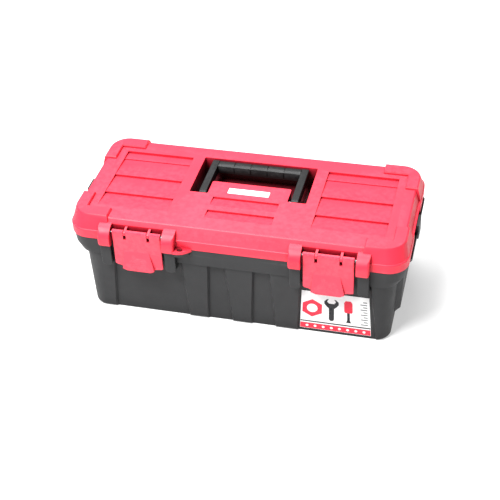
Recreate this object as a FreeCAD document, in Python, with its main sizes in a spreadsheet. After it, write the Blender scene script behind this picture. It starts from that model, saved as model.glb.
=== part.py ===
import FreeCAD, Part
import os
import math
import Sketcher

# Toolbox with a lift-out tray.  Millimetres, +Z up, -Y is the front with the
# two latches, origin under the middle of the box on the surface it stands on.

os.makedirs("parts", exist_ok=True)
doc = FreeCAD.newDocument("toolbox")
V = FreeCAD.Vector

# ---------------------------------------------------------------- dimensions
sheet = doc.addObject("Spreadsheet::Sheet", "Sheet")
TABLE = [
    # lid
    ("skirt_half_len", 200.0), ("skirt_half_dep", 91.1), ("skirt_low", 108.1), ("shoulder", 119.7),
    ("lid_top", 132.9), ("bumper_top", 136.0), ("crown_half_len", 192.3), ("crown_half_dep", 80.0),
    ("crown_foot_len", 197.0), ("crown_foot_dep", 90.1), ("corner_rad", 24.0), ("crown_rad", 20.0),
    ("lid_wall", 2.4),
    # lid louvre panels
    ("panel_in", 85.0), ("panel_out", 170.6), ("panel_half", 56.7), ("slat_deep", 2.9), ("slat_pitch", 36.1),
    ("slat_first", 41.9), ("slat_rise", 2.4),
    # handle pocket and tongue
    ("pocket_half", 71.0), ("pocket_front", -12.4), ("pocket_back", 60.6), ("pocket_floor", 105.0),
    ("tongue_half", 48.3), ("tongue_back", 12.6),
    # carrying handle
    ("arm_in", 52.0), ("arm_wide", 8.5), ("grip_front", 46.2), ("grip_back", 59.2), ("handle_top", 131.9),
    ("handle_axis_y", -5.2), ("handle_axis_z", 126.0), ("arm_half", 5.9), ("handle_pin_rad", 2.0),
    # latches
    ("latch_mid", 112.5), ("latch_half", 29.15), ("latch_axis_y", -92.2), ("latch_axis_z", 122.0),
    ("latch_pin_rad", 1.5), ("latch_face", -95.1), ("latch_back", -92.7), ("latch_low", 74.4),
    ("lug_in", 81.2), ("lug_wide", 14.5), ("lug_out", 144.2), ("lug_face", -100.7), ("lug_low", 104.2),
    ("base_lug_face", -95.5), ("base_lug_low", 73.3), ("base_lug_wide", 13.0),
    # base tub
    ("base_low_len", 183.0), ("base_low_dep", 86.6), ("base_up_len", 186.5), ("base_up_dep", 88.6),
    ("band_low", 85.5), ("band_top", 107.8), ("band_len", 199.2), ("band_dep", 90.6), ("band_foot_len", 190.5),
    ("band_foot_dep", 90.0), ("recess", 3.3), ("base_wall", 2.6), ("base_floor", 2.8),
    ("rim_in_len", 194.6), ("rim_in_dep", 85.6), ("lip_len", 196.8), ("lip_dep", 87.9), ("lip_top", 113.0),
    # hinge
    ("hinge_y", 96.2), ("hinge_z", 105.5), ("hinge_mid", 110.0), ("knuckle_rad", 4.5), ("hinge_pin_rad", 1.75),
    ("knuckle_half", 9.0), ("knuckle_gap", 0.4), ("knuckle_side", 9.0),
    # tray
    ("tray_low", 58.0), ("tray_top", 98.0), ("tray_len", 179.0), ("tray_dep", 80.8), ("tray_low_len", 175.5),
    ("tray_low_dep", 78.5), ("tray_wall", 2.0), ("ledge", 88.0), ("divider", 1.6),
    # fits
    ("running", 0.05), ("gap_min", 0.3),
]


class Dim:
    """A number that also carries the sheet expression it came from."""

    def __init__(self, v, e):
        self.v = float(v)
        self.e = e

    @staticmethod
    def of(o):
        return o if isinstance(o, Dim) else Dim(o, repr(round(float(o), 6)))

    def __add__(self, o):
        o = Dim.of(o)
        return Dim(self.v + o.v, "(%s + %s)" % (self.e, o.e))

    __radd__ = __add__

    def __sub__(self, o):
        o = Dim.of(o)
        return Dim(self.v - o.v, "(%s - %s)" % (self.e, o.e))

    def __rsub__(self, o):
        o = Dim.of(o)
        return Dim(o.v - self.v, "(%s - %s)" % (o.e, self.e))

    def __mul__(self, o):
        o = Dim.of(o)
        return Dim(self.v * o.v, "(%s * %s)" % (self.e, o.e))

    __rmul__ = __mul__

    def __truediv__(self, o):
        o = Dim.of(o)
        return Dim(self.v / o.v, "(%s / %s)" % (self.e, o.e))

    def __neg__(self):
        return Dim(-self.v, "(-1 * %s)" % self.e)


D = {}
for i, (name, val) in enumerate(TABLE):
    sheet.set("A%d" % (i + 1), name)
    sheet.set("B%d" % (i + 1), repr(val))
    sheet.setAlias("B%d" % (i + 1), name)
    D[name] = Dim(val, "Sheet." + name)
doc.recompute()


class Names:
    def __getattr__(self, k):
        return D[k]


d = Names()
num = lambda o: Dim.of(o).v


# ------------------------------------------------------------------- helpers
def body(name):
    b = doc.addObject("PartDesign::Body", name)
    b.Label = name
    return b


def plane(b, role):
    for o in b.Origin.OriginFeatures:
        if o.Role == role:
            return o


def sketch(b, role, off):
    """A sketch on one of the body's own origin planes, lifted by off."""
    s = b.newObject("Sketcher::SketchObject", "Sketch")
    s.AttachmentSupport = [(plane(b, role), "")]
    s.MapMode = "FlatFace"
    off = Dim.of(off)
    s.AttachmentOffset = FreeCAD.Placement(V(0, 0, off.v), FreeCAD.Rotation())
    if off.e.startswith("(") or off.e.startswith("Sheet"):
        s.setExpression("AttachmentOffset.Base.z", off.e)
    return s


def pin_to(s, geo, pt, x, y):
    """Ties one sketch point to the sketch origin with two driven distances."""
    for axis, o in (("DistanceX", Dim.of(x)), ("DistanceY", Dim.of(y))):
        if abs(o.v) < 1e-9:
            s.addConstraint(Sketcher.Constraint("PointOnObject", geo, pt, -2 if axis == "DistanceX" else -1))
            continue
        if o.v > 0:
            n = s.addConstraint(Sketcher.Constraint(axis, -1, 1, geo, pt, o.v))
            e = o.e
        else:
            n = s.addConstraint(Sketcher.Constraint(axis, geo, pt, -1, 1, -o.v))
            e = (-o).e
        if "Sheet" in e:
            s.setExpression("Constraints[%d]" % n, e)


def poly(b, role, off, pts):
    s = sketch(b, role, off)
    n = len(pts)
    p = [V(num(x), num(y), 0) for x, y in pts]
    for i in range(n):
        s.addGeometry(Part.LineSegment(p[i], p[(i + 1) % n]), False)
    for i in range(n):
        s.addConstraint(Sketcher.Constraint("Coincident", i, 2, (i + 1) % n, 1))
    for i in range(n):
        pin_to(s, i, 1, pts[i][0], pts[i][1])
    return s


def circle(b, role, off, x, y, r):
    s = sketch(b, role, off)
    r = Dim.of(r)
    s.addGeometry(Part.Circle(V(num(x), num(y), 0), V(0, 0, 1), r.v), False)
    n = s.addConstraint(Sketcher.Constraint("Radius", 0, r.v))
    if "Sheet" in r.e:
        s.setExpression("Constraints[%d]" % n, r.e)
    pin_to(s, 0, 3, x, y)
    return s


def rrect(b, role, off, x0, x1, y0, y1, r):
    """Rounded rectangle, sides at x0..x1 and y0..y1, corner radius r."""
    s = sketch(b, role, off)
    x0, x1, y0, y1, r = [Dim.of(o) for o in (x0, x1, y0, y1, r)]
    a0, a1, b0, b1, q = x0.v, x1.v, y0.v, y1.v, r.v
    Z = V(0, 0, 1)

    def arc(cx, cy, s0):
        return Part.ArcOfCircle(Part.Circle(V(cx, cy, 0), Z, q), s0, s0 + math.pi / 2)

    s.addGeometry(Part.LineSegment(V(a0 + q, b0, 0), V(a1 - q, b0, 0)), False)
    s.addGeometry(arc(a1 - q, b0 + q, -math.pi / 2), False)
    s.addGeometry(Part.LineSegment(V(a1, b0 + q, 0), V(a1, b1 - q, 0)), False)
    s.addGeometry(arc(a1 - q, b1 - q, 0), False)
    s.addGeometry(Part.LineSegment(V(a1 - q, b1, 0), V(a0 + q, b1, 0)), False)
    s.addGeometry(arc(a0 + q, b1 - q, math.pi / 2), False)
    s.addGeometry(Part.LineSegment(V(a0, b1 - q, 0), V(a0, b0 + q, 0)), False)
    s.addGeometry(arc(a0 + q, b0 + q, math.pi), False)
    for i in range(8):
        s.addConstraint(Sketcher.Constraint("Tangent", i, 2, (i + 1) % 8, 1))
    s.addConstraint(Sketcher.Constraint("Horizontal", 0))
    s.addConstraint(Sketcher.Constraint("Vertical", 2))
    s.addConstraint(Sketcher.Constraint("Horizontal", 4))
    s.addConstraint(Sketcher.Constraint("Vertical", 6))
    for i in (3, 5, 7):
        s.addConstraint(Sketcher.Constraint("Equal", 1, i))
    n = s.addConstraint(Sketcher.Constraint("Radius", 1, q))
    if "Sheet" in r.e:
        s.setExpression("Constraints[%d]" % n, r.e)

    def side(axis, geo, o):
        if o.v > 0:
            n = s.addConstraint(Sketcher.Constraint(axis, -1, 1, geo, 1, o.v))
            e = o.e
        else:
            n = s.addConstraint(Sketcher.Constraint(axis, geo, 1, -1, 1, -o.v))
            e = (-o).e
        if "Sheet" in e:
            s.setExpression("Constraints[%d]" % n, e)

    side("DistanceX", 2, x1)
    side("DistanceX", 6, x0)
    side("DistanceY", 4, y1)
    side("DistanceY", 0, y0)
    return s


def pad(b, s, length, mid=False, rev=False):
    f = b.newObject("PartDesign::Pad", "Pad")
    f.Profile = s
    length = Dim.of(length)
    f.Length = length.v
    if "Sheet" in length.e:
        f.setExpression("Length", length.e)
    f.Midplane = mid
    f.Reversed = rev
    f.Refine = False
    s.Visibility = False
    return f


def cut(b, s, length, mid=False, rev=False):
    """Pocket that must take material away; the volume is compared."""
    doc.recompute()
    before = b.Shape.Volume
    f = b.newObject("PartDesign::Pocket", "Pocket")
    f.Profile = s
    length = Dim.of(length)
    f.Length = length.v
    if "Sheet" in length.e:
        f.setExpression("Length", length.e)
    f.Midplane = mid
    f.Reversed = rev
    f.Refine = False
    doc.recompute()
    after = b.Shape.Volume
    if not after < before - 1e-3:
        raise RuntimeError("pocket cut nothing in %s: %g -> %g" % (b.Label, before, after))
    return f


def loft(b, first, others, take=False):
    doc.recompute()
    before = b.Shape.Volume if b.Shape and not b.Shape.isNull() else 0
    f = b.newObject("PartDesign::SubtractiveLoft" if take else "PartDesign::AdditiveLoft", "Loft")
    f.Profile = first
    f.Sections = others
    f.Ruled = True
    f.Refine = False
    doc.recompute()
    if take and not b.Shape.Volume < before - 1e-3:
        raise RuntimeError("loft cut nothing in %s" % b.Label)
    return f


def fillet(b, r, test, chamfer=False):
    """Rounds the body's edges that pass test(edge)."""
    doc.recompute()
    tip = b.Tip
    names = ["Edge%d" % (i + 1) for i, e in enumerate(tip.Shape.Edges) if test(e)]
    if not names:
        raise RuntimeError("no edges to round in " + b.Label)
    f = b.newObject("PartDesign::Chamfer" if chamfer else "PartDesign::Fillet", "Round")
    f.Base = (tip, names)
    if chamfer:
        f.Size = num(r)
    else:
        f.Radius = num(r)
    doc.recompute()
    if f.State and ("Invalid" in f.State or "Error" in f.State) or f.Shape.isNull() or not f.Shape.isValid():
        print("skipped rounding", b.Label, r, len(names))
        b.removeObject(f)
        doc.removeObject(f.Name)
        b.Tip = tip
        doc.recompute()
        return None
    return f


def near(e, x=None, y=None, z=None, tol=0.05):
    bb = e.BoundBox
    ok = True
    for v, lo, hi in ((x, bb.XMin, bb.XMax), (y, bb.YMin, bb.YMax), (z, bb.ZMin, bb.ZMax)):
        if v is not None:
            ok = ok and abs(lo - v) < tol and abs(hi - v) < tol
    return ok


def mirror(b, feats, roles):
    m = b.newObject("PartDesign::MultiTransform" if len(roles) > 1 else "PartDesign::Mirrored", "Mirror")
    m.Originals = feats
    m.Refine = False
    if len(roles) == 1:
        m.MirrorPlane = (plane(b, roles[0]), [""])
    else:
        subs = []
        for r in roles:
            t = b.newObject("PartDesign::Mirrored", "Half")
            t.MirrorPlane = (plane(b, r), [""])
            subs.append(t)
        m.Transformations = subs
    b.Tip = m
    doc.recompute()
    return m


XY, XZ, YZ = "XY_Plane", "XZ_Plane", "YZ_Plane"
# On the XZ plane a positive offset moves the sketch towards -Y.

parts = []

# ------------------------------------------------------------------ base tub
b = body("base_tub")
parts.append(b)
# rounded foot: the lowest sections are drawn in along a quarter round
secs = []
for z, inset in ((0.0, 3.2), (0.6, 1.8), (1.6, 0.75), (3.2, 0.1), (5.0, 0.0)):
    hx = d.base_low_len + (d.base_up_len - d.base_low_len) * (z / 85.5) - inset
    hy = d.base_low_dep + (d.base_up_dep - d.base_low_dep) * (z / 85.5) - inset
    secs.append(rrect(b, XY, z, -hx, hx, -hy, hy, 18.0 - 0.8 * inset))
secs.append(rrect(b, XY, d.band_low, -d.base_up_len, d.base_up_len, -d.base_up_dep, d.base_up_dep, 24))
loft(b, secs[0], secs[1:])
# rim band: swells out over the ends, almost flush at front and back
s0 = rrect(b, XY, d.band_low, -d.band_foot_len, d.band_foot_len, -d.band_foot_dep, d.band_foot_dep, 20)
s1 = rrect(b, XY, d.band_low + 9, -(d.band_len - 2.0), d.band_len - 2.0, -(d.band_dep - 0.2), d.band_dep - 0.2, 23)
s2 = rrect(b, XY, d.band_top, -d.band_len, d.band_len, -d.band_dep, d.band_dep, 24)
loft(b, s0, [s1, s2])
# locating lip that stands inside the lid skirt
pad(b, rrect(b, XY, d.band_top - 1.0, -d.lip_len, d.lip_len, -d.lip_dep, d.lip_dep, 21), d.lip_top - d.band_top + 1.0)
doc.recompute()

# recessed panels in the front and back walls, between slanting ribs
t = d.band_low


def wall_recess(xa_low, xa_up, xb_low, xb_up, back):
    """Recess between two slanting edges; a = left, b = right; low at z=0, up at the band."""
    sg = 1 if back else -1
    secs = []
    for z, xa, xb, dep in ((0, xa_low, xb_low, d.base_low_dep), (t, xa_up, xb_up, d.base_up_dep)):
        w = 2.2
        yi, yo = sg * (dep - d.recess), sg * (dep + 6.0)
        ww = w * (6.0 + 3.3) / 3.3
        pts = [(xa, yi), (xb, yi), (xb + ww, yo), (xa - ww, yo)]
        secs.append(poly(b, XY, z if num(z) else 0, pts))
    loft(b, secs[0], [secs[1]], take=True)


FRONT = [(-151.4, -143.5, -59.9, -64.0), (-34.5, -29.1, -6.1, -12.2), (19.2, 24.6, 46.4, 41.0), (75.1, 80.5, 167.0, 158.2)]
for xa_low, xa_up, xb_low, xb_up in FRONT:
    wall_recess(xa_low, xa_up, xb_low, xb_up, False)
for xa_low, xa_up, xb_low, xb_up in [(-151.0, -146.0, -84.0, -80.0), (-58.0, -62.0, 58.0, 62.0), (84.0, 80.0, 151.0, 146.0)]:
    wall_recess(xa_low, xa_up, xb_low, xb_up, True)

# a broad raised panel on each end wall, chamfered on its sides and below
for sg in (1, -1):
    secs = []
    for z, out in ((17.0, -0.8), (25.0, 6.6), (86.5, 6.6)):
        ln = d.base_low_len + (d.base_up_len - d.base_low_len) * (z / 85.5)
        o = ln + out
        secs.append(poly(b, XY, z, [(sg * 184.0 - sg * 4.0, -58.0), (sg * (ln - 0.9), -58.0), (sg * o, -50.0), (sg * o, 50.0), (sg * (ln - 0.9), 58.0), (sg * 184.0 - sg * 4.0, 58.0)]))
    loft(b, secs[0], secs[1:])
doc.recompute()

# latch lugs on the front, padlock eye, grip lugs under the rim at the ends
lugs = []
for sx in (-1, 1):
    for xin, out in ((d.lug_in - 0.7, -1), (d.lug_out + 1.5, 1)):
        xa = sx * xin
        xb = sx * (xin + out * d.base_lug_wide)
        lo, hi = (xa, xb) if num(xa) < num(xb) else (xb, xa)
        zl, zt = d.base_lug_low, d.lug_low - 0.5
        pts = [(lo, zt), (hi, zt), (hi, zl + 4.5), (hi - 1.3, zl + 1.3), (hi - 4.5, zl), (lo + 4.5, zl), (lo + 1.3, zl + 1.3), (lo, zl + 4.5)]
        sk = poly(b, XZ, 80.0, pts)
        pad(b, sk, -d.base_lug_face - 80.0, rev=False)
        doc.recompute()
fillet(b, 1.2, lambda e: near(e, y=num(d.base_lug_face)) and e.BoundBox.ZMax < num(d.lug_low) + 1)
# catch ledges for the latch hooks
for sx in (-1, 1):
    lo, hi = (sx * (d.latch_mid + sx * -20), sx * (d.latch_mid + sx * 20))
    pad(b, poly(b, XZ, 84.0, [(lo, 86.0), (hi, 86.0), (hi, 83.2), (lo, 83.2)]), 7.6)
doc.recompute()
sk = poly(b, XY, 101.4, [(-66.2, -88.0), (-66.2, -99.4), (-63.0, -99.4), (-56.5, -97.6), (-50.5, -93.4), (-49.6, -88.0)])
pad(b, sk, 3.8)
# a bead along the rim at each end, and a short upright lug in the notch of the lid
for sx in (-1, 1):
    pts = [(sx * 190.0, -61.0), (sx * 200.4, -61.0), (sx * 201.8, -58.0), (sx * 201.8, 58.0), (sx * 200.4, 61.0), (sx * 190.0, 61.0)]
    pad(b, poly(b, XY, 104.6, pts), d.band_top - 104.6)
    pts = [(sx * 190.0, -11.0), (sx * 202.2, -11.0), (sx * 203.2, -9.8), (sx * 203.2, 9.8), (sx * 202.2, 11.0), (sx * 190.0, 11.0)]
    pad(b, poly(b, XY, 99.0, pts), d.band_top - 99.0)
    pts = [(sx * 198.3, -11.0), (sx * 202.2, -11.0), (sx * 203.2, -9.8), (sx * 203.2, 9.8), (sx * 202.2, 11.0), (sx * 198.3, 11.0)]
    pad(b, poly(b, XY, d.band_top - 1.0, pts), 11.0)
doc.recompute()
# hinge brackets on the back
for sx in (-1, 1):
    for side in (-1, 1):
        off = sx * d.hinge_mid + (side * (d.knuckle_half + d.knuckle_gap + d.knuckle_side / 2.0))
        pts = [(88.0, 92.0), (d.hinge_y + 3.4, d.hinge_z - 3.2), (d.hinge_y, d.hinge_z), (d.hinge_y - 3.0, d.hinge_z + 2.0), (88.0, 107.0)]
        pad(b, poly(b, YZ, off, pts), d.knuckle_side, mid=True)
        pad(b, circle(b, YZ, off, d.hinge_y, d.hinge_z, d.knuckle_rad), d.knuckle_side, mid=True)
doc.recompute()

# inside: the tub, then the wider space above the ledge that carries the tray
wl = d.base_wall
s0 = rrect(b, XY, d.base_floor, -(d.base_low_len - wl), d.base_low_len - wl, -(d.base_low_dep - d.recess - wl), d.base_low_dep - d.recess - wl, 15)
s1 = rrect(b, XY, d.ledge + 0.01, -(d.base_up_len - wl), d.base_up_len - wl, -(d.base_up_dep - d.recess - wl + 0.2), d.base_up_dep - d.recess - wl + 0.2, 21)
loft(b, s0, [s1], take=True)
cut(b, rrect(b, XY, d.lip_top + 5, -d.rim_in_len, d.rim_in_len, -d.rim_in_dep, d.rim_in_dep, 19), d.lip_top + 5 - d.ledge)

# the locating lip stops short of the lid's end notches
for sx in (-1, 1):
    cut(b, poly(b, XY, d.lip_top + 3.0, [(sx * 193.5, -36.0), (sx * 197.5, -36.0), (sx * 197.5, 36.0), (sx * 193.5, 36.0)]), d.lip_top + 3.0 - d.band_top)
# holes: hinge pins, padlock eye
for sx in (-1, 1):
    cut(b, circle(b, YZ, sx * d.hinge_mid, d.hinge_y, d.hinge_z, d.hinge_pin_rad), 2 * (d.knuckle_half + d.knuckle_gap + d.knuckle_side) + 2, mid=True)
cut(b, rrect(b, XY, 106.0, -63.7, -57.1, -98.0, -92.6, 2.6), 6.0)

# ----------------------------------------------------------------- lid shell
b = body("lid_shell")
parts.append(b)
pad(b, rrect(b, XY, d.skirt_low, -d.skirt_half_len, d.skirt_half_len, -d.skirt_half_dep, d.skirt_half_dep, d.corner_rad), d.shoulder - d.skirt_low)
fillet(b, 1.4, lambda e: near(e, z=num(d.shoulder)))
s0 = rrect(b, XY, d.shoulder - 0.5, -d.crown_foot_len, d.crown_foot_len, -d.crown_foot_dep, d.crown_foot_dep, d.corner_rad)
s1 = rrect(b, XY, d.lid_top, -d.crown_half_len, d.crown_half_len, -d.crown_half_dep, d.crown_half_dep, d.crown_rad)
loft(b, s0, [s1])
fillet(b, 2.6, lambda e: near(e, z=num(d.lid_top)))


# corner bumpers: L-shaped pads that stand above the top and wrap the corner
def lshape(z, ax, ay, q, xe, ye, xi, yi):
    s = sketch(b, XY, z)
    ax, ay, q, xe, ye, xi, yi = [Dim.of(o) for o in (ax, ay, q, xe, ye, xi, yi)]
    s.addGeometry(Part.LineSegment(V(ax.v, ye.v, 0), V(ax.v, ay.v - q.v, 0)), False)
    s.addGeometry(Part.ArcOfCircle(Part.Circle(V(ax.v - q.v, ay.v - q.v, 0), V(0, 0, 1), q.v), 0, math.pi / 2), False)
    rest = [(ax - q, ay), (xe, ay), (xe, yi), (xi, yi), (xi, ye), (ax, ye)]
    for i in range(5):
        s.addGeometry(Part.LineSegment(V(num(rest[i][0]), num(rest[i][1]), 0), V(num(rest[i + 1][0]), num(rest[i + 1][1]), 0)), False)
    s.addConstraint(Sketcher.Constraint("Tangent", 0, 2, 1, 1))
    s.addConstraint(Sketcher.Constraint("Tangent", 1, 2, 2, 1))
    for i in range(2, 6):
        s.addConstraint(Sketcher.Constraint("Coincident", i, 2, i + 1, 1))
    s.addConstraint(Sketcher.Constraint("Coincident", 6, 2, 0, 1))
    s.addConstraint(Sketcher.Constraint("Vertical", 0))
    s.addConstraint(Sketcher.Constraint("Horizontal", 2))
    n = s.addConstraint(Sketcher.Constraint("Radius", 1, q.v))
    for geo, (x, y) in ((0, (ax, ye)), (3, (xe, ay)), (4, (xe, yi)), (5, (xi, yi)), (6, (xi, ye))):
        pin_to(s, geo, 1, x, y)
    return s


s0 = lshape(d.shoulder - 1.2, d.skirt_half_len - 0.7, d.skirt_half_dep - 0.5, 24, 147.5, 35.5, 180, 64)
s1 = lshape(d.bumper_top - 1.4, d.skirt_half_len - 4.9, d.skirt_half_dep - 8.9, 22, 150.5, 37.6, 180, 64.6)
s2 = lshape(d.bumper_top, d.skirt_half_len - 6.6, d.skirt_half_dep - 10.4, 20.5, 151.6, 38.8, 180.8, 65.6)
bump = loft(b, s0, [s1, s2])
mirror(b, [bump], [XZ, YZ])

# lugs either side of each latch, with the hollow for the latch barrel between
prof = [(-83.0, 128.8), (-88.0, 128.6), (-92.5, 127.0), (-96.5, 124.2), (-99.5, 120.6), (d.lug_face, 116.5),
        (d.lug_face, d.lug_low + 4.2), (d.lug_face + 1.2, d.lug_low + 1.2), (d.lug_face + 4.2, d.lug_low), (-91.2, d.lug_low), (-91.2, 108.6), (-83.0, 112.0)]
for sx in (-1, 1):
    for mid in (d.lug_in - d.lug_wide / 2.0, d.lug_out + d.lug_wide / 2.0):
        pad(b, poly(b, YZ, sx * mid, prof), d.lug_wide, mid=True)
doc.recompute()
fillet(b, 2.6, lambda e: e.BoundBox.YMax < num(d.lug_face) + 5.0 and e.BoundBox.XLength < 0.1 and (e.BoundBox.YLength > 0.05 or e.BoundBox.ZLength > 3.0)
       and any(abs(abs(e.BoundBox.XMin) - q) < 0.05 for q in (num(d.lug_in) - num(d.lug_wide), num(d.lug_out) + num(d.lug_wide))))
# padlock tab beside the left latch, with a gusset up to the skirt
sk = poly(b, XY, 105.8, [(-68.0, -91.2), (-68.0, -100.4), (-63.0, -100.4), (-56.0, -98.4), (-49.0, -93.2), (-47.6, -91.2)])
pad(b, sk, 3.8)
pad(b, poly(b, XZ, 88.0, [(-68.0, 109.0), (-54.0, 109.0), (-60.0, 111.4), (-64.5, 114.6), (-68.0, 119.0)]), 4.2)
doc.recompute()
sk = poly(b, XY, 105.8, [(-68.0, -88.9), (-68.0, -91.8), (-47.6, -91.8), (-47.6, -88.9)])
pad(b, poly(b, XZ, 88.8, [(-70.0, 109.6), (-70.0, 108.1), (-47.6, 108.1), (-47.6, 109.6)]), 3.0)

# hinge knuckles
for sx in (-1, 1):
    pts = [(89.5, 108.6), (d.hinge_y - 4.6, d.skirt_low), (d.hinge_y - 4.0, d.hinge_z), (d.hinge_y, d.hinge_z), (d.hinge_y + 4.48, d.hinge_z), (d.hinge_y + 4.0, 109.6), (93.6, 117.6), (89.5, 118.6)]
    pad(b, poly(b, YZ, sx * d.hinge_mid, pts), 2 * d.knuckle_half, mid=True)
    pad(b, circle(b, YZ, sx * d.hinge_mid, d.hinge_y, d.hinge_z, d.knuckle_rad), 2 * d.knuckle_half, mid=True)
doc.recompute()

# inside of the lid
w = d.lid_wall
cut(b, rrect(b, XY, d.shoulder - 1.0, -(d.skirt_half_len - w), d.skirt_half_len - w, -(d.skirt_half_dep - w), d.skirt_half_dep - w, 21.6), d.shoulder - d.skirt_low + 4, rev=False)
s0 = rrect(b, XY, d.shoulder - 1.01, -(d.crown_foot_len - w), d.crown_foot_len - w, -(d.crown_foot_dep - w - 0.4), d.crown_foot_dep - w - 0.4, 21)
s1 = rrect(b, XY, d.lid_top - w, -(d.crown_half_len - w - 0.6), d.crown_half_len - w - 0.6, -(d.crown_half_dep - w - 0.8), d.crown_half_dep - w - 0.8, 18)
loft(b, s0, [s1], take=True)

# thickening under the louvres, inside the latch hollows, and the handle well
for sx in (-1, 1):
    a, c = (sx * (d.panel_in - 2.2), sx * (d.panel_out + 2.2))
    lo, hi = (a, c) if sx > 0 else (c, a)
    pad(b, poly(b, XY, d.lid_top - 5.1, [(lo, -(d.panel_half + 2)), (hi, -(d.panel_half + 2)), (hi, d.panel_half + 2), (lo, d.panel_half + 2)]), 4.0)
    a, c = (sx * (d.lug_in - 3), sx * (d.lug_out + 3))
    lo, hi = (a, c) if sx > 0 else (c, a)
    pad(b, poly(b, XY, 114.0, [(lo, -81.6), (lo, -89.3), (hi, -89.3), (hi, -81.6)]), 12.5)
for sx in (-1, 1):
    pad(b, poly(b, XY, d.skirt_low, [(sx * 195.2, -34.0), (sx * 198.4, -34.0), (sx * 198.4, 34.0), (sx * 195.2, 34.0)]), d.shoulder - 0.6 - d.skirt_low)
pad(b, poly(b, XY, d.lid_top - 5.1, [(-42.2, -61.0), (42.2, -61.0), (42.2, -16.0), (-42.2, -16.0)]), 4.0)
pad(b, rrect(b, XY, d.pocket_floor - 2.2, -(d.pocket_half + 2.2), d.pocket_half + 2.2, d.pocket_front - 2.2, d.pocket_back + 2.2, 4.0), d.lid_top - 1.0 - d.pocket_floor + 2.2)
doc.recompute()
# U-shaped well round the tongue
pts = [(-d.pocket_half, d.pocket_front), (-d.tongue_half, d.pocket_front), (-d.tongue_half, d.tongue_back), (d.tongue_half, d.tongue_back),
       (d.tongue_half, d.pocket_front), (d.pocket_half, d.pocket_front), (d.pocket_half, d.pocket_back), (-d.pocket_half, d.pocket_back)]
cut(b, poly(b, XY, d.lid_top + 1, pts), d.lid_top + 1 - d.pocket_floor)
# the tongue is hollow from below
cut(b, rrect(b, XY, d.lid_top - 2.6, -(d.tongue_half - 2.2), d.tongue_half - 2.2, d.pocket_front, d.tongue_back - 2.2, 2.0), 40)
fillet(b, 1.6, lambda e: e.BoundBox.ZLength > 20 and abs(abs(e.BoundBox.XMin) - num(d.pocket_half)) < 0.05 and e.BoundBox.XLength < 0.05)
fillet(b, 2.2, lambda e: e.BoundBox.ZLength > 20 and abs(abs(e.BoundBox.XMin) - num(d.tongue_half)) < 0.05 and abs(e.BoundBox.YMin - num(d.tongue_back)) < 0.05 and e.BoundBox.XLength < 0.05)

# hollows for the latch barrels, open to the front and above
for sx in (-1, 1):
    a, c = (sx * d.lug_in, sx * d.lug_out)
    lo, hi = (a, c) if sx > 0 else (c, a)
    sk = poly(b, XZ, 84.0, [(lo, 117.2), (hi, 117.2), (hi, 140.0), (lo, 140.0)])
    cut(b, sk, 20.0, rev=True)
# two fingers per latch, carried by the wall of the hollow
for sx in (-1, 1):
    for off in (-14.1, 14.3):
        xm = sx * d.latch_mid + off
        fin = [(-82.6, 118.4), (d.latch_axis_y + 1.0, d.latch_axis_z - 2.9), (d.latch_axis_y, d.latch_axis_z), (d.latch_axis_y + 0.4, d.latch_axis_z + 2.95), (-82.6, 126.4)]
        pad(b, poly(b, YZ, xm, fin), 2.6, mid=True)
        pad(b, circle(b, YZ, xm, d.latch_axis_y, d.latch_axis_z, 3.0), 2.6, mid=True)
doc.recompute()

# louvres: each slat starts deep at its back step and rises to the front
deep, rise = d.slat_deep, d.slat_rise
T = d.lid_top
y1, y2, y3 = d.slat_first, d.slat_first - d.slat_pitch, d.slat_first - 2 * d.slat_pitch
saw = [(d.panel_half, T + 3), (d.panel_half, T - deep), (y1, T - deep + 1.0), (y1, T - deep), (y2, T - deep + rise), (y2, T - deep), (y3, T - deep + rise), (y3, T - deep), (-d.panel_half, T - 0.02), (-d.panel_half, T + 3)]
for sx in (-1, 1):
    cut(b, poly(b, YZ, sx * (d.panel_in + d.panel_out) / 2.0, saw), d.panel_out - d.panel_in, mid=True)
for yb, yf in ((-18.0, -35.0), (-44.2, -59.5)):
    cut(b, poly(b, YZ, 0, [(yb, T + 3), (yb, T - 2.3), (yf, T - 0.02), (yf, T + 3)]), 80.0, mid=True)
# shallow seat for the plaque on the tongue
cut(b, poly(b, XY, T + 1, [(-25.6, -8.6), (25.2, -8.6), (25.2, 2.6), (-25.6, 2.6)]), 1.6)
# notches in the end skirts over the grip lugs
for sx in (-1, 1):
    lo, hi = ((197.2, 206.0) if sx > 0 else (-206.0, -197.2))
    cut(b, poly(b, XY, d.shoulder - 0.4, [(sx * 197.6, -27.0), (sx * 206.0, -33.0), (sx * 206.0, 33.0), (sx * 197.6, 27.0)]), 20.0)
# holes: latch pins, hinge pins, handle pins, padlock eye
for sx in (-1, 1):
    cut(b, circle(b, YZ, sx * d.latch_mid, d.latch_axis_y, d.latch_axis_z, d.latch_pin_rad), d.lug_out - d.lug_in + 14.0, mid=True)
    cut(b, circle(b, YZ, sx * d.hinge_mid, d.hinge_y, d.hinge_z, d.hinge_pin_rad + d.running), 2 * d.knuckle_half + 2, mid=True)
cut(b, circle(b, YZ, 0, d.handle_axis_y, d.handle_axis_z, d.handle_pin_rad), 2 * d.tongue_half + 2, mid=True)
cut(b, rrect(b, XY, 125.0, -64.0, -56.8, -98.3, -92.4, 2.8), 22.0)

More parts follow.
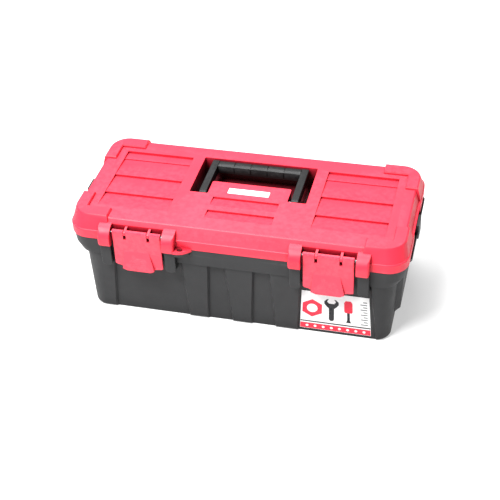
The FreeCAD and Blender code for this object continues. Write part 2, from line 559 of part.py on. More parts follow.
# ------------------------------------------------------------------- latches
for side, sx in (("left", -1), ("right", 1)):
    b = body(side + "_latch")
    parts.append(b)
    ay, az = d.latch_axis_y, d.latch_axis_z
    prof = [(d.latch_face, az + 2.4), (d.latch_face + 0.9, az + 3.6), (ay + 1.2, az + 3.7), (ay + 2.9, az + 2.3), (ay + 3.6, az + 0.2), (ay + 3.1, az - 2.0),
            (ay + 1.4, az - 3.7), (d.latch_back, az - 5.6), (d.latch_back, 84.4), (-91.95, 82.6), (-91.95, 80.6), (d.latch_back, 78.4), (-93.0, d.latch_low), (-95.3, d.latch_low),
            (-95.6, d.latch_low + 6.0), (d.latch_face, 96.0)]
    pad(b, poly(b, YZ, 0, prof), 2 * d.latch_half, mid=True)
    # finger lift: a wedge that grows towards the lower edge, narrower above
    s0 = poly(b, XY, d.latch_low - 2.9, [(-14.0, -93.6), (-14.0, -98.5), (14.0, -98.5), (14.0, -93.6)])
    s1 = poly(b, XY, d.latch_low, [(-19.5, -93.5), (-19.5, -98.9), (19.0, -98.9), (19.0, -93.5)])
    s2 = poly(b, XY, 99.0, [(-17.0, -93.5), (-17.0, -95.15), (13.5, -95.15), (13.5, -93.5)])
    loft(b, s0, [s1, s2])
    # lower corners cut back beside the lift
    for k, (xa, xb) in enumerate(((-29.6, -20.5), (20.5, 29.6))):
        if k == 0:
            pts = [(-30.5, 70.0), (-19.3, 70.0), (-19.3, 74.2), (-22.5, 76.6), (-26.5, 77.4), (-30.5, 79.8)]
        else:
            pts = [(30.5, 70.0), (19.3, 70.0), (19.3, 74.2), (21.5, 75.2), (27.0, 75.8), (30.5, 77.4)]
        cut(b, poly(b, XZ, 85.0, pts), 30, rev=True)
    # grip ridges, shorter towards the top
    for k, hw in enumerate((11.0, 9.2, 7.4, 5.6, 3.8)):
        z = 78.6 + 2.5 * k
        y = -98.05 + 0.38 * k
        pad(b, poly(b, YZ, 0, [(y + 0.7, z - 0.75), (y - 0.25, z - 0.35), (y - 0.25, z + 0.35), (y + 0.7, z + 0.75)]), 2 * hw, mid=True)
    doc.recompute()
    # slots for the lid's fingers
    for off in (-14.1, 14.3):
        cut(b, poly(b, XZ, 85.0, [(off - 1.7, az - 7.2), (off + 1.7, az - 7.2), (off + 1.7, az + 8), (off - 1.7, az + 8)]), 30, rev=True)
    cut(b, circle(b, YZ, 0, ay, az, d.latch_pin_rad + d.running), 2 * d.latch_half + 2, mid=True)
    fillet(b, 0.8, lambda e: abs(abs(e.BoundBox.XMin) - num(d.latch_half)) < 0.02 and e.BoundBox.XLength < 0.02 and e.BoundBox.YMax < -94.9 and e.BoundBox.ZLength > 3)
    b.Placement = FreeCAD.Placement(V(sx * num(d.latch_mid), 0, 0), FreeCAD.Rotation())
    b.setExpression("Placement.Base.x", (sx * d.latch_mid).e)

    p = doc.addObject("Part::Cylinder", side + "_latch_pin")
    p.Label = side + "_latch_pin"
    parts.append(p)
    p.setExpression("Radius", "Sheet.latch_pin_rad")
    p.setExpression("Height", "Sheet.lug_out - Sheet.lug_in + 13")
    p.Placement = FreeCAD.Placement(V(0, 0, 0), FreeCAD.Rotation(V(0, 1, 0), 90))
    p.setExpression("Placement.Base.x", "%d * Sheet.latch_mid - (Sheet.lug_out - Sheet.lug_in + 13) / 2" % sx)
    p.setExpression("Placement.Base.y", "Sheet.latch_axis_y")
    p.setExpression("Placement.Base.z", "Sheet.latch_axis_z")

    p = doc.addObject("Part::Cylinder", side + "_hinge_pin")
    p.Label = side + "_hinge_pin"
    parts.append(p)
    full = "2 * (Sheet.knuckle_half + Sheet.knuckle_gap + Sheet.knuckle_side)"
    p.setExpression("Radius", "Sheet.hinge_pin_rad")
    p.setExpression("Height", full)
    p.Placement = FreeCAD.Placement(V(0, 0, 0), FreeCAD.Rotation(V(0, 1, 0), 90))
    p.setExpression("Placement.Base.x", "%d * Sheet.hinge_mid - %s / 2" % (sx, full))
    p.setExpression("Placement.Base.y", "Sheet.hinge_y")
    p.setExpression("Placement.Base.z", "Sheet.hinge_z")

    p = doc.addObject("Part::Cylinder", side + "_handle_pin")
    p.Label = side + "_handle_pin"
    parts.append(p)
    p.setExpression("Radius", "Sheet.handle_pin_rad")
    p.setExpression("Height", "Sheet.arm_in + Sheet.arm_wide - Sheet.tongue_half + 1.2")
    p.Placement = FreeCAD.Placement(V(0, 0, 0), FreeCAD.Rotation(V(0, 1, 0), 90))
    if sx > 0:
        p.setExpression("Placement.Base.x", "Sheet.tongue_half - 2.2")
    else:
        p.setExpression("Placement.Base.x", "-(Sheet.arm_in + Sheet.arm_wide) + 1")
    p.setExpression("Placement.Base.y", "Sheet.handle_axis_y")
    p.setExpression("Placement.Base.z", "Sheet.handle_axis_z")

# ---------------------------------------------------------- carrying handle
b = body("carry_handle")
parts.append(b)
hy, hz, ah = d.handle_axis_y, d.handle_axis_z, d.arm_half
arm = [(hy - 0.0, hz - ah), (hy - 3.4, hz - ah + 1.05), (hy - 5.6, hz - 1.8), (hy - 5.6, hz + 1.8), (hy - 3.4, hz + ah - 1.05), (hy, hz + ah),
       (d.grip_back - 2.0, d.handle_top), (d.grip_back - 0.5, d.handle_top - 0.6), (d.grip_back, d.handle_top - 2.2), (d.grip_back, d.handle_top - 9.0),
       (d.grip_back - 2.4, d.handle_top - 12.4), (d.grip_front + 2.0, d.handle_top - 12.4), (d.grip_front - 4.0, d.handle_top - 11.8)]
for sx in (-1, 1):
    pad(b, poly(b, YZ, sx * (d.arm_in + d.arm_wide / 2.0), arm), d.arm_wide, mid=True)
doc.recompute()
fillet(b, 1.0, lambda e: e.BoundBox.XLength < 0.02 and abs(abs(e.BoundBox.XMin) - num(d.arm_in) - num(d.arm_wide)) < 0.02)
# core of the grip and five rounded segments along it
gf, gb, gt = d.grip_front, d.grip_back, d.handle_top
core = [(gf + 1.4, gt - 1.4), (gb - 1.4, gt - 1.4), (gb - 1.4, gt - 11.0), (gf + 1.4, gt - 11.0)]
pad(b, poly(b, YZ, 0, core), 2 * d.arm_in + 1, mid=True)
doc.recompute()
seg = 2 * d.arm_in / 5.0
for k in range(5):
    xm = (k - 2) * seg
    sec = [(gf + 0.4, gt - 8.6), (gf, gt - 6.6), (gf + 0.2, gt - 3.6), (gf + 1.5, gt - 1.4), (gf + 3.6, gt - 0.25), (gb - 6.0, gt), (gb - 2.2, gt - 0.15), (gb - 0.6, gt - 1.0), (gb, gt - 3.0),
           (gb, gt - 9.0), (gb - 1.4, gt - 11.2), (gb - 3.6, gt - 12.2), (gf + 3.6, gt - 12.2), (gf + 1.4, gt - 10.8)]
    pad(b, poly(b, YZ, xm, sec), seg - 1.3, mid=True)
doc.recompute()
cut(b, circle(b, YZ, 0, hy, hz, d.handle_pin_rad + d.running), 2 * (d.arm_in + d.arm_wide - 1.0), mid=True)

# ---------------------------------------------------------------------- tray
b = body("tray")
parts.append(b)
s0 = rrect(b, XY, d.tray_low, -d.tray_low_len, d.tray_low_len, -d.tray_low_dep, d.tray_low_dep, 11)
s1 = rrect(b, XY, d.tray_top, -d.tray_len, d.tray_len, -d.tray_dep, d.tray_dep, 13)
loft(b, s0, [s1])
# end flanges that rest over the ledge of the tub
pad(b, rrect(b, XY, d.ledge + d.gap_min, -193.4, 193.4, -62.0, 62.0, 8), 2.4)
for sx in (-1, 1):
    for y in (-40.0, 0.0, 40.0):
        pad(b, poly(b, XZ, -y, [(sx * 177.0, 90.0), (sx * 177.0, 97.0), (sx * 190.5, 90.0)]), 1.8, mid=True)
doc.recompute()
tw = d.tray_wall
rows = ((-(d.tray_low_dep - tw - 0.6), -1.0), (1.0, d.tray_low_dep - tw - 0.6))
# front row: three bays by one fixed wall each side of the middle; back row: one long bay
bays = [(-(d.tray_low_len - tw - 0.5), -61.0, 0), (-59.0, 59.0, 0), (61.0, d.tray_low_len - tw - 0.5, 0), (-(d.tray_low_len - tw - 0.5), d.tray_low_len - tw - 0.5, 1)]
for xa, xb, row in bays:
    ya, yb = rows[row]
    xo0 = 1.6 if num(xa) < -100 else 0.0
    xo1 = 1.6 if num(xb) > 100 else 0.0
    s0 = rrect(b, XY, d.tray_low + tw, xa, xb, ya, yb, 6)
    s1 = rrect(b, XY, d.tray_top + 1, xa - xo0, xb + xo1, (ya - 1.6 if row == 0 else ya), (yb + 1.6 if row == 1 else yb), 6.5)
    loft(b, s0, [s1], take=True)
# lifting bar in the middle wall, standing a little above the rim
pad(b, poly(b, XZ, 0, [(-52.0, 80.0), (52.0, 80.0), (52.0, 96.0), (47.0, 99.6), (-47.0, 99.6), (-52.0, 96.0)]), 7.0, mid=True)
cut(b, rrect(b, XZ, 0, -42.0, 42.0, 76.0, 94.0, 7.0), 30, mid=True)
# paired ribs that hold the loose dividers
DIV = [("tray_divider_front_left", -118.0, 0), ("tray_divider_front_right", 118.0, 0), ("tray_divider_back_left", -88.0, 1), ("tray_divider_back_right", 88.0, 1)]
for nm, x, row in DIV:
    yw = (rows[row][0], rows[row][1])
    for sgn in (-1, 1):
        xm = x + sgn * (0.8 + 0.2 + 0.7)
        for yy in (0, 1):
            if yy == 0:
                lo, hi = (yw[0] - 2.2, yw[0] + 1.8)
            else:
                lo, hi = (yw[1] - 1.8, yw[1] + 2.2)
            if row == 0 and yy == 1:
                hi = yw[1] + 0.5
            if row == 1 and yy == 0:
                lo = yw[0] - 0.5
            pad(b, poly(b, XY, d.tray_low + tw - 0.3, [(xm - 0.7, lo), (xm + 0.7, lo), (xm + 0.7, hi), (xm - 0.7, hi)]), 30)
doc.recompute()

for nm, x, row in DIV:
    q = body(nm)
    parts.append(q)
    ya, yb = num(rows[row][0]), num(rows[row][1])
    zt, zl = 95.0, num(d.tray_low) + num(d.tray_wall) + 0.2
    pts = [(ya + 2.6, zl), (yb - 2.6, zl), (yb - 0.35, zl + 4.0), (yb - 0.35, zt - 1.5), (yb - 2.0, zt), (ya + 2.0, zt), (ya + 0.35, zt - 1.5), (ya + 0.35, zl + 4.0)]
    pad(q, poly(q, YZ, 0, pts), d.divider, mid=True)
    q.Placement = FreeCAD.Placement(V(x, 0, 0), FreeCAD.Rotation())
doc.recompute()

# ---------------------------------------------------- front label and plaque
b = body("front_label")
parts.append(b)
secs = []
for z, xa, xb in ((4.4, 76.6, 161.6), (63.6, 79.9, 158.4)):
    yf = -(d.base_low_dep - d.recess + (d.base_up_dep - d.base_low_dep) * (z / 85.5))
    secs.append(poly(b, XY, z, [(xa, yf - 0.02), (xb, yf - 0.02), (xb, yf - 0.42), (xa, yf - 0.42)]))
loft(b, secs[0], [secs[1]])
fillet(b, 3.0, lambda e: e.BoundBox.XLength < 0.3 and e.BoundBox.YLength > 0.3 and e.BoundBox.YLength < 0.6 and e.BoundBox.ZMax < 5 and e.BoundBox.XMin > 150)

b = body("lid_plaque")
parts.append(b)
pad(b, rrect(b, XY, d.lid_top - 0.6, -25.2, 24.8, -8.2, 2.2, 0.6), 0.55)
doc.recompute()

# ------------------------------------------------------------ check and save
doc.recompute()
bad = [o.Name for o in doc.Objects if any(k in ("Invalid", "Error") for k in o.State)]
if bad:
    raise RuntimeError("failed objects: %s" % bad)
for p in parts:
    s = p.Shape
    if s.isNull() or not s.isValid():
        raise RuntimeError("bad shape: " + p.Label)
for p in parts:
    s = p.Shape
    bb = s.BoundBox
    print("%-26s solids %d vol %9.0f  x %.1f..%.1f y %.1f..%.1f z %.1f..%.1f" % (p.Label, len(s.Solids), s.Volume, bb.XMin, bb.XMax, bb.YMin, bb.YMax, bb.ZMin, bb.ZMax))
    s.exportStep("parts/%s.step" % p.Label)
print("pieces:", len(parts))
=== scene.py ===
import math
import bpy
import bmesh
from mathutils import Vector, Matrix, noise


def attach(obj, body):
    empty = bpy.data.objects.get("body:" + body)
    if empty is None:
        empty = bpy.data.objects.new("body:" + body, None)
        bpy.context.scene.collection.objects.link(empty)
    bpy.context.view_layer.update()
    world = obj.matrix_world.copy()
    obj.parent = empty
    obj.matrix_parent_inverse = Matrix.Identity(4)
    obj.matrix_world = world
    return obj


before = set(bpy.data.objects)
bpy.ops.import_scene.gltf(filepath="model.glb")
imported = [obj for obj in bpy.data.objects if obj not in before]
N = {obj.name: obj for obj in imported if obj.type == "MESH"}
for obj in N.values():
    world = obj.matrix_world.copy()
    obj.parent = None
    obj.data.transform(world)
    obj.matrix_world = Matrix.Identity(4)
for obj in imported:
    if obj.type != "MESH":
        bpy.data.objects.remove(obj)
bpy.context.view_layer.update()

scene = bpy.context.scene
MM = 0.001


# ------------------------------------------------------------------ materials
def links(mat):
    mat.use_nodes = True
    nt = mat.node_tree
    nt.nodes.clear()
    out = nt.nodes.new("ShaderNodeOutputMaterial")
    bsdf = nt.nodes.new("ShaderNodeBsdfPrincipled")
    nt.links.new(bsdf.outputs["BSDF"], out.inputs["Surface"])
    return nt, bsdf


def noise_node(nt, vec, scale, detail=2.0, rough=0.5, dist=0.0):
    n = nt.nodes.new("ShaderNodeTexNoise")
    n.inputs["Scale"].default_value = scale
    n.inputs["Detail"].default_value = detail
    n.inputs["Roughness"].default_value = rough
    n.inputs["Distortion"].default_value = dist
    nt.links.new(vec, n.inputs["Vector"])
    return n


def ramp(nt, fac, stops):
    r = nt.nodes.new("ShaderNodeValToRGB")
    while len(r.color_ramp.elements) < len(stops):
        r.color_ramp.elements.new(0.5)
    for e, (p, c) in zip(r.color_ramp.elements, stops):
        e.position = p
        e.color = c if len(c) == 4 else (*c, 1)
    nt.links.new(fac, r.inputs["Fac"])
    return r


def maprange(nt, val, a, b, lo, hi):
    m = nt.nodes.new("ShaderNodeMapRange")
    m.inputs["From Min"].default_value = a
    m.inputs["From Max"].default_value = b
    m.inputs["To Min"].default_value = lo
    m.inputs["To Max"].default_value = hi
    nt.links.new(val, m.inputs["Value"])
    return m


def mix(nt, fac, a, b, mode="MIX"):
    m = nt.nodes.new("ShaderNodeMix")
    m.data_type = "RGBA"
    m.blend_type = mode
    for sock, v in (("Factor", fac), ("A", a), ("B", b)):
        s = [i for i in m.inputs if i.name == sock and (i.type == "RGBA" or sock == "Factor" and i.type == "VALUE")][0]
        if hasattr(v, "links"):
            nt.links.new(v, s)
        else:
            s.default_value = v if not isinstance(v, tuple) else (*v, 1)
    return [o for o in m.outputs if o.type == "RGBA"][0]


def math_node(nt, op, a, b=None, clamp=False):
    m = nt.nodes.new("ShaderNodeMath")
    m.operation = op
    m.use_clamp = clamp
    for i, v in enumerate((a, b)):
        if v is None:
            continue
        if hasattr(v, "links"):
            nt.links.new(v, m.inputs[i])
        else:
            m.inputs[i].default_value = v
    return m.outputs[0]


def plastic(name, base, light, dark, rough=0.42, grain=900.0, grain_h=0.00004, wear_and_highlight=0.35, spec=0.5, edge=None, coat=0.0, scuff=0.5, dust=None, wave=0.35, recess_shade=(0.01, 0.01, 0.01), well_shade=False, edge_at=(0.53, 0.60)):
    """Moulded plastic: fine spark-eroded grain, faint flow mottling, rubbed edges that also carry a painted edge
    highlight, scuffs, a little dust, painted shade in recesses and, when given, painted shade inside the handle well.
    """
    mat = bpy.data.materials.new(name)
    nt, bsdf = links(mat)
    tc = nt.nodes.new("ShaderNodeTexCoord")
    obj = tc.outputs["Object"]
    mott = noise_node(nt, obj, 14.0, 4.0, 0.55, 0.3)
    mid = noise_node(nt, obj, 70.0, 3.0, 0.6)
    col = ramp(nt, mott.outputs["Fac"], [(0.30, dark), (0.52, base), (0.75, light)])
    fine = maprange(nt, mid.outputs["Fac"], 0.35, 0.7, 0.0, 0.5)
    c1 = mix(nt, fine.outputs[0], col.outputs["Color"], light)
    # rubbed edges from the surface's own curvature: lighter edges, partly wear and partly a painted edge highlight
    geo = nt.nodes.new("ShaderNodeNewGeometry")
    pt = maprange(nt, geo.outputs["Pointiness"], edge_at[0], edge_at[1], 0.0, 1.0)
    pt.clamp = True
    brk = noise_node(nt, obj, 160.0, 3.0, 0.7)
    brk_r = maprange(nt, brk.outputs["Fac"], 0.38, 0.62, 0.0, 1.0)
    brk_r.clamp = True
    edge_wear_and_highlight = math_node(nt, "MULTIPLY", pt.outputs[0], brk_r.outputs[0])
    edge_wear_and_highlight = math_node(nt, "MULTIPLY", edge_wear_and_highlight, wear_and_highlight, True)
    ed = edge or tuple(min(1.0, v * 1.6 + 0.03) for v in light)
    c2 = mix(nt, edge_wear_and_highlight, c1, ed)
    # thin short scuffs
    mp = nt.nodes.new("ShaderNodeMapping")
    mp.inputs["Scale"].default_value = (9.0, 60.0, 22.0)
    mp.inputs["Rotation"].default_value = (0.2, 0.1, 0.7)
    nt.links.new(obj, mp.inputs["Vector"])
    sc = noise_node(nt, mp.outputs["Vector"], 9.0, 5.0, 0.75, 0.4)
    sc_r = maprange(nt, sc.outputs["Fac"], 0.66, 0.72, 0.0, scuff)
    sc_r.clamp = True
    c3 = mix(nt, math_node(nt, "MULTIPLY", sc_r.outputs[0], 0.25), c2, ed)
    if dust:
        up = nt.nodes.new("ShaderNodeSeparateXYZ")
        nt.links.new(geo.outputs["Normal"], up.inputs[0])
        upm = maprange(nt, up.outputs["Z"], 0.3, 1.0, 0.0, 1.0)
        upm.clamp = True
        dn = noise_node(nt, obj, 35.0, 6.0, 0.7)
        dm = maprange(nt, dn.outputs["Fac"], 0.45, 0.75, 0.0, dust[3])
        dm.clamp = True
        c3 = mix(nt, math_node(nt, "MULTIPLY", upm.outputs[0], dm.outputs[0]), c3, dust[:3])
    # painted shade: recesses darkened towards a shade colour by ambient occlusion
    ao = nt.nodes.new("ShaderNodeAmbientOcclusion")
    ao.samples = 6
    ao.inputs["Distance"].default_value = 0.030
    ao_shade_mask = maprange(nt, ao.outputs["AO"], 0.22, 0.80, 0.0, 1.0)
    ao_shade_mask.clamp = True
    c3 = mix(nt, ao_shade_mask.outputs[0], recess_shade, c3)
    if well_shade:
        # painted shade inside the handle well: darker and more saturated towards its floor
        sp = nt.nodes.new("ShaderNodeSeparateXYZ")
        nt.links.new(obj, sp.inputs[0])
        ax = math_node(nt, "ABSOLUTE", sp.outputs["X"])

        def both(a, b):
            return math_node(nt, "MULTIPLY", a, b)

        outer = both(both(math_node(nt, "LESS_THAN", ax, 0.07110), math_node(nt, "GREATER_THAN", sp.outputs["Y"], -0.01250)),
                     both(math_node(nt, "LESS_THAN", sp.outputs["Y"], 0.06070), math_node(nt, "GREATER_THAN", sp.outputs["Z"], 0.10490)))
        tongue = both(math_node(nt, "LESS_THAN", ax, 0.04700), math_node(nt, "LESS_THAN", sp.outputs["Y"], 0.01120))
        well_shade_ramp = maprange(nt, sp.outputs["Z"], 0.1322, 0.1160, 0.0, 0.90)
        well_shade_ramp.clamp = True
        m = both(both(outer, math_node(nt, "SUBTRACT", 1.0, tongue)), well_shade_ramp.outputs[0])
        c3 = mix(nt, m, c3, well_shade)
    nt.links.new(c3, bsdf.inputs["Base Color"])
    # roughness: base value, mottled, polished where rubbed
    rn = noise_node(nt, obj, 40.0, 4.0, 0.6)
    r0 = maprange(nt, rn.outputs["Fac"], 0.3, 0.7, rough - 0.05, rough + 0.06)
    r1 = math_node(nt, "SUBTRACT", r0.outputs[0], math_node(nt, "MULTIPLY", edge_wear_and_highlight, 0.18))
    r2 = math_node(nt, "ADD", r1, math_node(nt, "MULTIPLY", sc_r.outputs[0], 0.12), True)
    nt.links.new(r2, bsdf.inputs["Roughness"])
    bsdf.inputs["Specular IOR Level"].default_value = spec
    bsdf.inputs["Coat Weight"].default_value = coat
    bsdf.inputs["Coat Roughness"].default_value = 0.25
    # grain in the bump: fine cells over a softer unevenness
    vor = nt.nodes.new("ShaderNodeTexVoronoi")
    vor.feature = "F1"
    vor.inputs["Scale"].default_value = grain
    nt.links.new(obj, vor.inputs["Vector"])
    gn = noise_node(nt, obj, grain * 1.3, 3.0, 0.6)
    gsum = math_node(nt, "ADD", vor.outputs["Distance"], gn.outputs["Fac"])
    b1 = nt.nodes.new("ShaderNodeBump")
    b1.inputs["Strength"].default_value = 0.5
    b1.inputs["Distance"].default_value = grain_h
    nt.links.new(gsum, b1.inputs["Height"])
    wav = noise_node(nt, obj, 9.0, 2.0, 0.4)
    b2 = nt.nodes.new("ShaderNodeBump")
    b2.inputs["Strength"].default_value = wave
    b2.inputs["Distance"].default_value = 0.0012
    nt.links.new(wav.outputs["Fac"], b2.inputs["Height"])
    nt.links.new(b1.outputs["Normal"], b2.inputs["Normal"])
    nt.links.new(b2.outputs["Normal"], bsdf.inputs["Normal"])
    return mat


# each plastic's edge colour carries wear and a painted edge highlight; its recess colour and the red's well colour are
# painted shade
RED = plastic("red_moulded", (0.93, 0.030, 0.066), (0.95, 0.035, 0.074), (0.91, 0.027, 0.060), rough=0.47, grain=750, grain_h=0.00003, spec=0.40,
              wear_and_highlight=0.10, edge=(1.0, 0.20, 0.27), scuff=0.15, wave=0.18, recess_shade=(0.20, 0.002, 0.008), well_shade=(0.030, 0.001, 0.003))
RED_LATCH = plastic("red_latch_moulded", (0.94, 0.034, 0.076), (0.96, 0.041, 0.085), (0.92, 0.029, 0.068), rough=0.34, grain=900, grain_h=0.00002,
                    wear_and_highlight=0.12, edge=(1.0, 0.22, 0.29), scuff=0.15, wave=0.12, recess_shade=(0.30, 0.003, 0.010))
RED_TRAY = plastic("red_tray_moulded", (0.78, 0.024, 0.052), (0.84, 0.032, 0.062), (0.72, 0.020, 0.044), rough=0.38, grain=820, grain_h=0.00003,
                   wear_and_highlight=0.12, edge=(0.95, 0.2, 0.24), dust=(0.7, 0.5, 0.48, 0.05), scuff=0.3, wave=0.2, recess_shade=(0.42, 0.008, 0.018))
RED_DIV = plastic("red_divider_moulded", (0.72, 0.022, 0.046), (0.78, 0.028, 0.055), (0.66, 0.018, 0.038), rough=0.36, grain=820, grain_h=0.00003, wear_and_highlight=0.12, scuff=0.3, wave=0.2,
                  recess_shade=(0.40, 0.008, 0.018))
BLACK = plastic("black_moulded", (0.030, 0.0302, 0.0313), (0.035, 0.0352, 0.0365), (0.026, 0.0262, 0.0272), rough=0.52, grain=620, grain_h=0.00006,
                wear_and_highlight=0.40, edge=(0.11, 0.111, 0.113), scuff=0.12, spec=0.26, wave=0.2, recess_shade=(0.007, 0.007, 0.0075), edge_at=(0.53, 0.60))
BLACK_GRIP = plastic("black_grip_moulded", (0.013, 0.0133, 0.0139), (0.017, 0.0173, 0.018), (0.010, 0.0103, 0.0108), rough=0.42, grain=900, grain_h=0.00003,
                     wear_and_highlight=0.20, edge=(0.08, 0.081, 0.083), scuff=0.2, spec=0.26, wave=0.15, recess_shade=(0.005, 0.005, 0.0055))


def steel():
    mat = bpy.data.materials.new("dark_oiled_steel")
    nt, bsdf = links(mat)
    tc = nt.nodes.new("ShaderNodeTexCoord")
    mp = nt.nodes.new("ShaderNodeMapping")
    mp.inputs["Scale"].default_value = (30.0, 900.0, 900.0)
    nt.links.new(tc.outputs["Object"], mp.inputs["Vector"])
    n = noise_node(nt, mp.outputs["Vector"], 3.0, 4.0, 0.6)
    c = ramp(nt, n.outputs["Fac"], [(0.3, (0.10, 0.10, 0.105)), (0.7, (0.20, 0.20, 0.21))])
    nt.links.new(c.outputs["Color"], bsdf.inputs["Base Color"])
    bsdf.inputs["Metallic"].default_value = 1.0
    r = maprange(nt, n.outputs["Fac"], 0.3, 0.7, 0.24, 0.42)
    nt.links.new(r.outputs[0], bsdf.inputs["Roughness"])
    b = nt.nodes.new("ShaderNodeBump")
    b.inputs["Strength"].default_value = 0.3
    b.inputs["Distance"].default_value = 0.00002
    nt.links.new(n.outputs["Fac"], b.inputs["Height"])
    nt.links.new(b.outputs["Normal"], bsdf.inputs["Normal"])
    return mat


def film(name, base, tint, rough=0.28):
    """Printed film or vinyl: faint mottling, slightly wavy gloss."""
    mat = bpy.data.materials.new(name)
    nt, bsdf = links(mat)
    tc = nt.nodes.new("ShaderNodeTexCoord")
    n = noise_node(nt, tc.outputs["Object"], 60.0, 4.0, 0.6)
    c = ramp(nt, n.outputs["Fac"], [(0.3, base), (0.75, tint)])
    nt.links.new(c.outputs["Color"], bsdf.inputs["Base Color"])
    r = maprange(nt, n.outputs["Fac"], 0.3, 0.7, rough - 0.05, rough + 0.08)
    nt.links.new(r.outputs[0], bsdf.inputs["Roughness"])
    bsdf.inputs["Specular IOR Level"].default_value = 0.22
    w = noise_node(nt, tc.outputs["Object"], 90.0, 2.0, 0.5)
    b = nt.nodes.new("ShaderNodeBump")
    b.inputs["Strength"].default_value = 0.25
    b.inputs["Distance"].default_value = 0.0001
    nt.links.new(w.outputs["Fac"], b.inputs["Height"])
    nt.links.new(b.outputs["Normal"], bsdf.inputs["Normal"])
    return mat


STEEL = steel()
WHITE = film("white_film", (0.93, 0.93, 0.93), (0.86, 0.86, 0.86))
PRINT_RED = film("red_print", (0.86, 0.035, 0.070), (0.80, 0.030, 0.062))
PRINT_DARK = film("dark_print", (0.022, 0.023, 0.026), (0.030, 0.030, 0.033))
PRINT_GREY = film("grey_print", (0.17, 0.175, 0.18), (0.14, 0.145, 0.15))

USE = {"base_tub": BLACK, "lid_shell": RED, "left_latch": RED_LATCH, "right_latch": RED_LATCH, "carry_handle": BLACK_GRIP, "tray": RED_TRAY,
       "front_label": WHITE, "lid_plaque": WHITE}
for name, ob in N.items():
    m = USE.get(name)
    if m is None:
        m = STEEL if name.endswith("_pin") else RED_DIV
    ob.data.materials.clear()
    ob.data.materials.append(m)


# --------------------------------------------- softened edges on the CAD nodes
def soften(ob, width, segs=3, angle=32):
    w = ob.modifiers.new("weld", "WELD")
    w.merge_threshold = 0.000004
    b = ob.modifiers.new("edge", "BEVEL")
    b.width = width
    b.segments = segs
    b.limit_method = "ANGLE"
    b.angle_limit = math.radians(angle)
    b.harden_normals = False
    b.use_clamp_overlap = True
    b.miter_outer = "MITER_ARC"
    n = ob.modifiers.new("normals", "WEIGHTED_NORMAL")
    n.keep_sharp = False
    n.weight = 60


WIDTH = {"base_tub": 0.0010, "lid_shell": 0.0010, "left_latch": 0.0004, "right_latch": 0.0004, "carry_handle": 0.0006, "tray": 0.0005}
for name, ob in N.items():
    for p in ob.data.polygons:
        pass
    wd = WIDTH.get(name)
    if wd:
        soften(ob, wd)

# --------------------------------------------- generic print on the front label
lab = N["front_label"]
lv = [lab.matrix_world @ v.co for v in lab.data.vertices]
z_lo, z_hi = min(v.z for v in lv), max(v.z for v in lv)


def row_of(z):
    r = [v for v in lv if abs(v.z - z) < 1e-5]
    return min(v.x for v in r), max(v.x for v in r), min(v.y for v in r)


(xa0, xb0, y0), (xa1, xb1, y1) = row_of(z_lo), row_of(z_hi)


def on_label(s, t, lift):
    """s 0..1 along the label from the left, t 0..1 upwards, lift in mm off its face."""
    xa, xb = xa0 + (xa1 - xa0) * t, xb0 + (xb1 - xb0) * t
    y = y0 + (y1 - y0) * t
    return Vector((xa + (xb - xa) * s, y - lift * MM, z_lo + (z_hi - z_lo) * t))


def print_piece(name, shapes, mat, lift):
    """Flat printed shapes, each a closed outline in (s, t), raised a few hundredths of a millimetre."""
    bm = bmesh.new()
    for pts in shapes:
        n = len(pts)
        front = [bm.verts.new(on_label(u, v, lift)) for u, v in pts]
        back = [bm.verts.new(on_label(u, v, 0.0)) for u, v in pts]
        bm.faces.new(front)
        bm.faces.new(back[::-1])
        for i in range(n):
            j = (i + 1) % n
            bm.faces.new((front[i], back[i], back[j], front[j]))
    bmesh.ops.recalc_face_normals(bm, faces=bm.faces)
    bmesh.ops.triangulate(bm, faces=bm.faces)
    me = bpy.data.meshes.new(name)
    bm.to_mesh(me)
    bm.free()
    ob = bpy.data.objects.new(name, me)
    scene.collection.objects.link(ob)
    ob.data.materials.append(mat)
    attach(ob, "base")
    return ob


def quad(s0, s1, t0, t1, lean=0.0):
    return [(s0, t0), (s1, t0), (s1 + lean, t1), (s0 + lean, t1)]


ASP = (z_hi - z_lo) / (xb0 - xa0)      # height over width, keeps round shapes round


def ring(cs, ct, r, n, a0=0.0):
    return [(cs + r * ASP * math.cos(a0 + 2 * math.pi * i / n), ct + r * math.sin(a0 + 2 * math.pi * i / n)) for i in range(n)]


def turned(pts, cs, ct, ang, k=1.0):
    """Outline given in heights of the label about (0, 0), turned and put at (cs, ct)."""
    c, q = math.cos(ang), math.sin(ang)
    return [(cs + ASP * k * (x * c - y * q), ct + k * (x * q + y * c)) for x, y in pts]


RIM = 0.004
# foot band with a thin dark line over it, a scale of ticks down the right side, three pictograms across the middle
print_piece("label_foot_band", [quad(RIM, 1 - RIM, 0.006, 0.150)], PRINT_RED, 0.03)
print_piece("label_foot_line", [quad(RIM, 1 - RIM, 0.180, 0.212)], PRINT_DARK, 0.03)
print_piece("label_foot_dots", [ring(0.10 + 0.115 * k, 0.078, 0.030, 16) for k in range(8)], WHITE, 0.06)
print_piece("label_scale", [quad(0.905 if k % 2 else 0.865, 0.965, 0.262 + 0.066 * k, 0.288 + 0.066 * k) for k in range(10)], PRINT_GREY, 0.03)
print_piece("label_nut", [ring(0.165, 0.560, 0.235, 6, math.pi / 6)], PRINT_RED, 0.03)
print_piece("label_nut_hole", [ring(0.165, 0.560, 0.112, 24)], WHITE, 0.06)
jaw = [(-0.10, -0.055), (-0.155, 0.02), (-0.155, 0.085), (-0.095, 0.150), (-0.060, 0.150), (-0.095, 0.085), (-0.055, 0.035), (0.055, 0.035), (0.095, 0.085), (0.060, 0.150),
       (0.095, 0.150), (0.155, 0.085), (0.155, 0.02), (0.10, -0.055), (0.055, -0.10), (0.055, -0.40), (0.024, -0.44), (-0.024, -0.44), (-0.055, -0.40), (-0.055, -0.10)]
print_piece("label_spanner", [turned(jaw, 0.445, 0.700, 0.0, 0.98)], PRINT_DARK, 0.03)
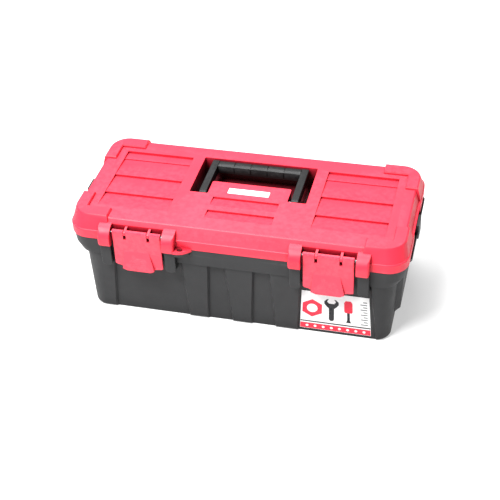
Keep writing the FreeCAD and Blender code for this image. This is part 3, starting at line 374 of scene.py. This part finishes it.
driver = [(-0.075, 0.0), (0.075, 0.0), (0.092, 0.04), (0.092, 0.27), (0.060, 0.33), (-0.060, 0.33), (-0.092, 0.27), (-0.092, 0.04)]
shaft = [(-0.030, 0.0), (-0.030, -0.20), (-0.052, -0.28), (0.052, -0.28), (0.030, -0.20), (0.030, 0.0)]
print_piece("label_driver_grip", [turned(driver, 0.690, 0.540, 0.0, 0.95)], PRINT_RED, 0.03)
print_piece("label_driver_shaft", [turned(shaft, 0.690, 0.540, 0.0, 0.95)], PRINT_DARK, 0.03)

# ------------------------------------------------------------ floor, sky, light
bpy.ops.mesh.primitive_plane_add(size=12.0, location=(0, 0, 0))
floor = bpy.context.object
floor.name = "floor"
fm = bpy.data.materials.new("pale_floor")
nt, bsdf = links(fm)
tc = nt.nodes.new("ShaderNodeTexCoord")
fn = noise_node(nt, tc.outputs["Object"], 3.0, 3.0, 0.5)
fc = ramp(nt, fn.outputs["Fac"], [(0.3, (0.52, 0.52, 0.52)), (0.7, (0.54, 0.54, 0.54))])
nt.links.new(fc.outputs["Color"], bsdf.inputs["Base Color"])
bsdf.inputs["Roughness"].default_value = 0.9
bsdf.inputs["Specular IOR Level"].default_value = 0.1
bsdf.inputs["Emission Color"].default_value = (1.0, 1.0, 1.0, 1.0)
bsdf.inputs["Emission Strength"].default_value = 0.50
floor.data.materials.append(fm)

world = bpy.data.worlds.new("studio")
scene.world = world
world.use_nodes = True
wn = world.node_tree.nodes["Background"]
wn.inputs["Color"].default_value = (1.0, 1.0, 1.0, 1)
wn.inputs["Strength"].default_value = 0.24


def area(name, loc, aim, size, power, col=(1, 1, 1)):
    l = bpy.data.lights.new(name, "AREA")
    l.shape = "RECTANGLE"
    l.size, l.size_y = size
    l.energy = power
    l.color = col
    o = bpy.data.objects.new(name, l)
    scene.collection.objects.link(o)
    o.location = loc
    o.rotation_euler = (Vector(aim) - Vector(loc)).to_track_quat("-Z", "Y").to_euler()
    return o


area("key", (-0.62, -0.88, 1.95), (0, 0, 0.05), (0.8, 0.7), 80)
area("top", (-0.30, 0.70, 1.75), (0, 0, 0.1), (1.2, 0.8), 36)

# -------------------------------------------------------------------- camera
az, el, roll = (math.radians(v) for v in (15.59, 38.73, -3.01))
back = Vector((math.sin(az) * math.cos(el), -math.cos(az) * math.cos(el), math.sin(el)))
right = (-back).cross(Vector((0, 0, 1))).normalized()
up = right.cross(-back)
r2 = right * math.cos(roll) + up * math.sin(roll)
u2 = -right * math.sin(roll) + up * math.cos(roll)
target = Vector((0.0, -11.84, 52.82)) * MM
loc = target + back * (1369.24 * MM)
cam_data = bpy.data.cameras.new("camera")
cam_data.sensor_width = 36.0
cam_data.lens = 1118.51 * 36.0 / 500.0
cam = bpy.data.objects.new("camera", cam_data)
scene.collection.objects.link(cam)
cam.matrix_world = Matrix(((r2.x, u2.x, back.x, loc.x), (r2.y, u2.y, back.y, loc.y), (r2.z, u2.z, back.z, loc.z), (0, 0, 0, 1)))
scene.camera = cam
scene.view_settings.view_transform = "Standard"
